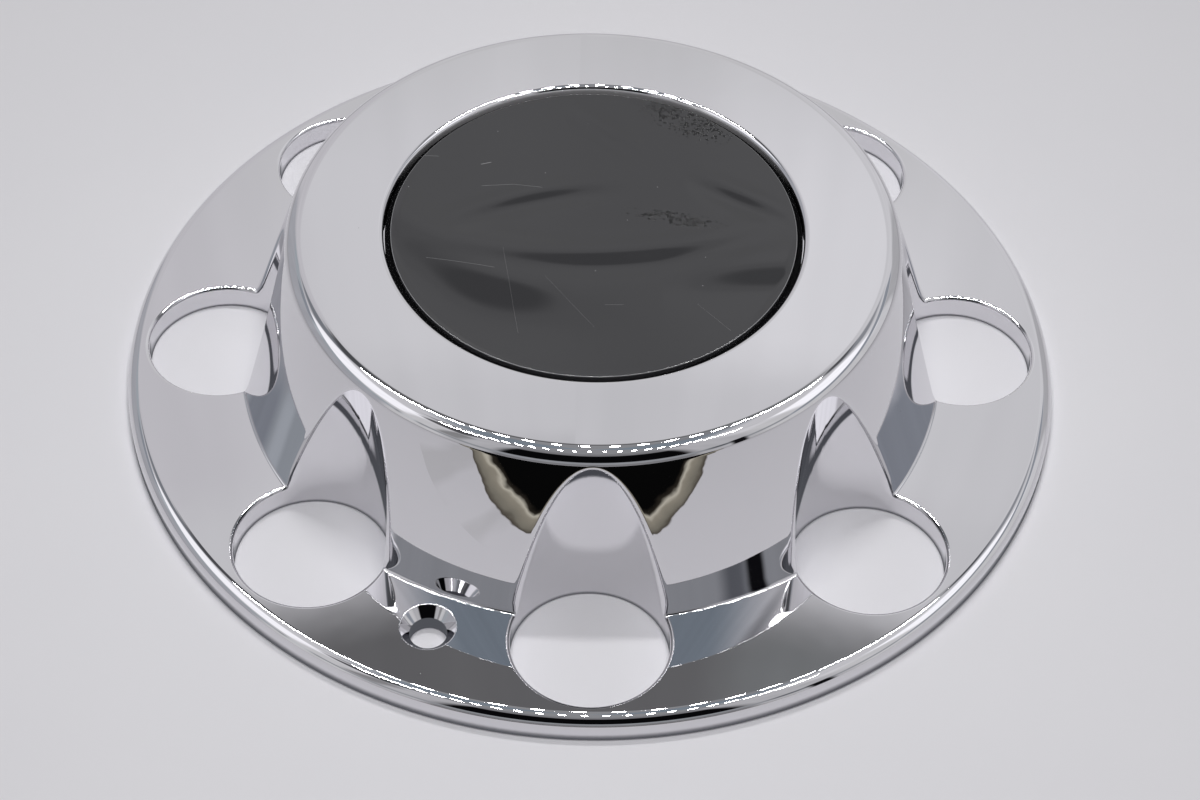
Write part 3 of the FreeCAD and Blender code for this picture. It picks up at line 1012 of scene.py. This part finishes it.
def dark_ground():
    """What lies before the table, drawn as a glow that only mirrors see: a dark cloth with a frayed pale hem,
    in a wavy line.
    """
    material, node, place = new_material("Dark cloth with a pale hem")
    parts = node("ShaderNodeSeparateXYZ", {"Vector": place}).outputs
    square = node("ShaderNodeMath", {0: parts["X"], 1: parts["X"]}, operation="MULTIPLY")
    line = node("ShaderNodeMath", {0: square, 1: -2.5, 2: -0.157}, operation="MULTIPLY_ADD")
    # The hem lies 157 mm before the cap's axis and curves away at both sides, wanders by up to 30 mm in 35 mm
    # waves, and is 40 mm deep from its frayed edge to the dark.
    wave = node("ShaderNodeTexNoise", {"Vector": place, "Scale": 1 / (35 * MM), "Detail": 3.0})
    wander = node("ShaderNodeMath", {0: wave, 1: 0.03, 2: line}, operation="MULTIPLY_ADD")
    depth = node("ShaderNodeMath", {0: wander, 1: parts["Y"]}, operation="SUBTRACT")
    along = node("ShaderNodeMapRange", {"Value": depth, "From Min": 0.012, "From Max": 0.052})
    ramp = node("ShaderNodeValToRGB", {"Fac": along})
    set_stops(ramp, (
        (0.0, "#6A655A", 0.0),
        (0.04, "#4F4A42", 1.0),
        (0.16, "#7E7A6F", 1.0),
        (0.46, "#989284", 1.0),
        (0.56, "#C4BFB0", 1.0),
        (0.66, "#2C2822", 1.0),
        (0.78, "#090909", 1.0),
    ))
    light = node("ShaderNodeEmission", {"Color": ramp})
    clear = node("ShaderNodeBsdfTransparent")
    # Left of the hem the pale cloth lies in slanting folds 34 mm wide, whose creases are painted shade: a
    # grey glow.
    slant = node(
        "ShaderNodeMapping",
        {
            "Vector": place,
            "Rotation": (0, 0, math.radians(25)),
            "Scale": (1 / (34 * MM), 1 / (110 * MM), 1.0),
        },
    )
    folds = node("ShaderNodeTexNoise", {"Vector": slant, "Scale": 1.0, "Detail": 2.0})
    crease_shade = node("ShaderNodeMapRange", {"Value": folds, "From Min": 0.45, "From Max": 0.6, "To Max": 0.2})
    leftward = node("ShaderNodeMapRange", {"Value": parts["X"], "From Min": -35 * MM, "From Max": -60 * MM})
    folded = node("ShaderNodeMath", {0: crease_shade, 1: leftward}, operation="MULTIPLY")
    shade = node("ShaderNodeEmission", {"Color": "#83837D"})
    cloth = node("ShaderNodeMixShader", {0: folded, 1: clear, 2: shade})
    mix = node("ShaderNodeMixShader", {0: ramp.outputs["Alpha"], 1: cloth, 2: light})
    return show(material, mix, glows=True)


def edge_shade(shape):
    """The dark line on the table along the cap's lower edges, as its own plating mirrors it."""
    material, node, place = new_material("Shade under the cap")
    parts = node("ShaderNodeSeparateXYZ", {"Vector": place}).outputs
    angle = node("ShaderNodeMath", {0: parts["Y"], 1: parts["X"]}, operation="ARCTAN2")
    folded = node("ShaderNodeMath", {0: angle, 1: shape.half_step}, operation="PINGPONG")
    reach = flat_length(node, place)
    cosine = node("ShaderNodeMath", {0: folded}, operation="COSINE")
    sine = node("ShaderNodeMath", {0: folded}, operation="SINE")
    across = node("ShaderNodeMath", {0: reach, 1: cosine, 2: -shape.pitch}, operation="MULTIPLY_ADD")
    beside = node("ShaderNodeMath", {0: reach, 1: sine}, operation="MULTIPLY")
    from_lug = node("ShaderNodeCombineXYZ", {"X": across, "Y": beside})
    away = node("ShaderNodeVectorMath", {0: from_lug}, operation="LENGTH")
    # One mirror shows a line 0.8 mm wide; two, under the scallops' roofs, show it 2.2 mm wide.
    bounces = node("ShaderNodeLightPath").outputs["Glossy Depth"]
    twice = node("ShaderNodeMath", {0: bounces, 1: 1.5}, operation="GREATER_THAN")
    start = node(
        "ShaderNodeMath", {0: twice, 1: -1.4 * MM, 2: shape.lug - 0.8 * MM}, operation="MULTIPLY_ADD"
    )
    end = node("ShaderNodeMath", {0: start, 1: 0.8 * MM}, operation="ADD")
    inside = node(
        "ShaderNodeMapRange",
        {"Value": away, "From Min": start, "From Max": end},
        interpolation_type="SMOOTHSTEP",
    )
    outside = node(
        "ShaderNodeMapRange",
        {"Value": reach, "From Min": shape.rim + 1.5 * MM, "From Max": shape.rim},
        interpolation_type="SMOOTHSTEP",
    )
    cover = node("ShaderNodeMath", {0: inside, 1: outside}, operation="MULTIPLY")
    dark = node("ShaderNodeEmission", {"Color": "#5C5E63"})
    clear = node("ShaderNodeBsdfTransparent")
    mix = node("ShaderNodeMixShader", {0: cover, 1: clear, 2: dark})
    return show(material, mix, glows=True)


def lamp_glow():
    """A small white lamp, far brighter than the cloth, as mirrors see it."""
    material, node, _ = new_material("White lamp")
    path = node("ShaderNodeLightPath")
    seen = node("ShaderNodeMath", {0: path.outputs["Diffuse Depth"], 1: 0.5}, operation="LESS_THAN")
    power = node("ShaderNodeMath", {0: seen, 1: LAMP_POWER}, operation="MULTIPLY")
    light = node("ShaderNodeEmission", {"Color": (1, 1, 1, 1), "Strength": power})
    return show(material, light, glows=True)


def lamp_rows(material):
    """A tree that sets rows of small lamps under the tent's roof."""
    tree, node, given = new_tree("Rows of lamps", {
        "Geometry": "Geometry",
        "Lamp count": "Int",
        "Lamp spacing": "Float",
        "Lamp radius": "Float",
        "Lamp stretch": "Float",
    })
    offset = node("ShaderNodeCombineXYZ", {"X": given["Lamp spacing"]})
    row = node("GeometryNodeMeshLine", {"Count": given["Lamp count"], "Offset": offset})
    lamp = node("GeometryNodeMeshCircle", {"Vertices": 12, "Radius": given["Lamp radius"]}, fill_type="NGON")
    stretch = node("ShaderNodeCombineXYZ", {"X": 1.0, "Y": given["Lamp stretch"], "Z": 1.0})
    lamps = node("GeometryNodeInstanceOnPoints", {"Points": row, "Instance": lamp, "Scale": stretch})
    last = node("ShaderNodeMath", {0: given["Lamp count"], 1: 1.0}, operation="SUBTRACT")
    span = node("ShaderNodeMath", {0: last, 1: given["Lamp spacing"]}, operation="MULTIPLY")
    half = node("ShaderNodeMath", {0: span, 1: -0.5}, operation="MULTIPLY")
    shift = node("ShaderNodeCombineXYZ", {"X": half})
    middle = node("GeometryNodeTransform", {"Geometry": lamps, "Translation": shift})
    real = node("GeometryNodeRealizeInstances", {"Geometry": middle})
    lit = node("GeometryNodeSetMaterial", {"Geometry": real, "Material": material})
    node("NodeGroupOutput", {"Geometry": lit})
    return tree


def hang_lamps(name, material, place, spacing, radius, stretch):
    """One row of small lamps along X under the tent's roof, each stretched towards the back."""
    row = new_object(name, bpy.data.meshes.new(name))
    modifier = row.modifiers.new("Rows of lamps", "NODES")
    modifier.node_group = lamp_rows(material)
    set_inputs(modifier, {
        "Lamp count": LAMPS_PER_ROW,
        "Lamp spacing": spacing,
        "Lamp radius": radius,
        "Lamp stretch": stretch,
    })
    settle(row)
    row.location = place
    reflected_only(row)


def white_table(colours):
    """Matt white laminate: an even pale sheet with a breath of tone in it and a few specks of dust."""
    material, node, place = new_material("Matt white laminate")
    # 70 mm clouds, and one speck of 0.5 mm about every 90 mm.
    clouds = node("ShaderNodeTexNoise", {"Vector": place, "Scale": 1 / (70 * MM), "Detail": 4.0})
    dust = dust_mask(node, place, 90, 0.25)
    tone = node("ShaderNodeMix", {0: clouds, 6: "#E7E6EA", 7: (*colours.floor, 1.0)}, data_type="RGBA")
    colour = node("ShaderNodeMix", {0: dust, 6: tone, 7: "#A9A49C"}, data_type="RGBA")
    shader = node(
        "ShaderNodeBsdfPrincipled", {"Base Color": colour, "Roughness": 1.0, "Specular IOR Level": 0.0}
    )
    return show(material, shader)


class CENTERCAP_OT_stage(bpy.types.Operator):
    """Set the table, the light tent and the camera"""

    bl_idname = "centercap.stage"
    bl_label = "Stage"

    def execute(self, context):
        scene = context.scene
        scene.view_settings.view_transform = "Standard"
        plain_sheet("table", (-TABLE, -TABLE), (TABLE, TABLE), 0.0, white_table(scene.cap_colours))
        hang_tent(cap_shape(scene.cap_sizes))
        light_table(scene)
        place_camera(scene)
        return {"FINISHED"}


# The studio in metres: half the table's side, the tent's radius, the ground before the table, how far the
# two sheets that mirrors see lie above the table, and how far the shade's sheet passes the rim.
TABLE = 4.0
TENT = 0.75
GROUND = ((-0.25, -0.45), (0.25, -0.13))
GROUND_LIFT = 0.001
SHADE_LIFT = 0.0003
SHADE_MARGIN = 3 * MM
# The rows of lamps that mirrors see: the middle, the spacing, a lamp's radius and how far it is stretched.
LAMP_POWER = 60.0
LAMPS_PER_ROW = 25
LAMP_ROWS = (
    ("back_lamps", (0.0, 0.173, 0.55), 0.0243, 0.0040, 7.0),
    ("front_lamps", (0.0, -0.136, 0.55), 0.0246, 0.0030, 9.3),
)
# The strips that light the table with their places and powers, their two sides, and the glow all round.
STRIPS = (("back_strip", (0.0, 0.1, 0.6), 1.0), ("front_strip", (0.0, -0.136, 0.55), 0.87))
STRIP_SIDES = (0.2, 0.035)
GLOW = 0.3
# The camera: tilt, roll and turn about the cap in degrees, its aim and its distance from it in mm, its lens.
CAMERA_ANGLES = (47.624, 1.653, -1.195)
CAMERA_AIM = (2.33, -29.52, 20.0)
CAMERA_DISTANCE = 549.04
CAMERA_LENS = 77.42


def light_table(scene):
    """Soft light on the table: two long strips overhead and an even glow all round."""
    world = bpy.data.worlds.new("Even glow")
    world.use_nodes = True
    background = world.node_tree.nodes["Background"]
    background.inputs["Color"].default_value = (0.98, 0.98, 1.0, 1.0)
    background.inputs["Strength"].default_value = GLOW
    scene.world = world
    for name, place, power in STRIPS:
        data = bpy.data.lights.new(name, "AREA")
        data.shape = "RECTANGLE"
        data.size, data.size_y = STRIP_SIDES
        data.energy = power
        strip = bpy.data.objects.new(name, data)
        strip.location = place
        strip.visible_glossy = False
        scene.collection.objects.link(strip)


def hang_tent(shape):
    """The tent, the ground before it, the shade under the cap and the rows of lamps, as mirrors see them."""
    made = bmesh.new()
    bmesh.ops.create_uvsphere(made, u_segments=96, v_segments=48, radius=TENT)
    below = [corner for corner in made.verts if corner.co.z < -0.01]
    bmesh.ops.delete(made, geom=below, context="VERTS")
    tent = new_object("tent", take_mesh(made, "tent"))
    tent.data.materials.append(tent_cloth())
    reflected_only(tent)
    lamp = lamp_glow()
    for name, place, spacing, radius, stretch in LAMP_ROWS:
        hang_lamps(name, lamp, place, spacing, radius, stretch)
    reflected_only(plain_sheet("dark_ground", *GROUND, GROUND_LIFT, dark_ground()))
    half = shape.rim + SHADE_MARGIN
    reflected_only(plain_sheet("edge_shade", (-half, -half), (half, half), SHADE_LIFT, edge_shade(shape)))


def place_camera(scene):
    """The camera where the photograph was taken from."""
    tilt, roll, turn = map(math.radians, CAMERA_ANGLES)
    back = Vector((0, -math.cos(tilt), math.sin(tilt)))
    right = Vector((1, 0, 0))
    up = back.cross(right)
    across = math.cos(roll) * right + math.sin(roll) * up
    upward = math.cos(roll) * up - math.sin(roll) * right
    matrix = Matrix((across, upward, back)).transposed().to_4x4()
    matrix.translation = (Vector(CAMERA_AIM) + back * CAMERA_DISTANCE) * MM
    data = bpy.data.cameras.new("camera")
    data.lens = CAMERA_LENS
    data.sensor_width = 36.0
    data.clip_start = 0.01
    camera = bpy.data.objects.new("camera", data)
    scene.collection.objects.link(camera)
    camera.matrix_world = Matrix.Rotation(turn, 4, "Z") @ matrix
    scene.camera = camera


class CENTERCAP_PT_panel(bpy.types.Panel):
    """Lists the cap's sizes, colours and steps"""

    bl_label = "Center Cap"
    bl_idname = "CENTERCAP_PT_panel"
    bl_space_type = "VIEW_3D"
    bl_region_type = "UI"
    bl_category = "Center Cap"

    def draw(self, context):
        column = self.layout.column()
        for group in (context.scene.cap_sizes, context.scene.cap_colours):
            for name in group.bl_rna.properties.keys():
                if name not in {"rna_type", "name"}:
                    column.prop(group, name)
        for step in STEPS:
            column.operator(step.bl_idname)


STEPS = (CENTERCAP_OT_cap_body, CENTERCAP_OT_adhesive_pad, CENTERCAP_OT_emblem_disc, CENTERCAP_OT_stage)
CLASSES = (CapSizes, CapColours, *STEPS, CENTERCAP_PT_panel)


def register():
    """Make the classes and their settings known to Blender."""
    for one in CLASSES:
        bpy.utils.register_class(one)
    bpy.types.Scene.cap_sizes = PointerProperty(type=CapSizes)
    bpy.types.Scene.cap_colours = PointerProperty(type=CapColours)


def unregister():
    """Take the settings and the classes away again."""
    del bpy.types.Scene.cap_colours
    del bpy.types.Scene.cap_sizes
    for one in reversed(CLASSES):
        bpy.utils.unregister_class(one)


def main():
    """Build every piece in order."""
    register()
    bpy.ops.centercap.cap_body()
    bpy.ops.centercap.adhesive_pad()
    bpy.ops.centercap.emblem_disc()
    bpy.ops.centercap.stage()


if __name__ == "__main__":
    main()
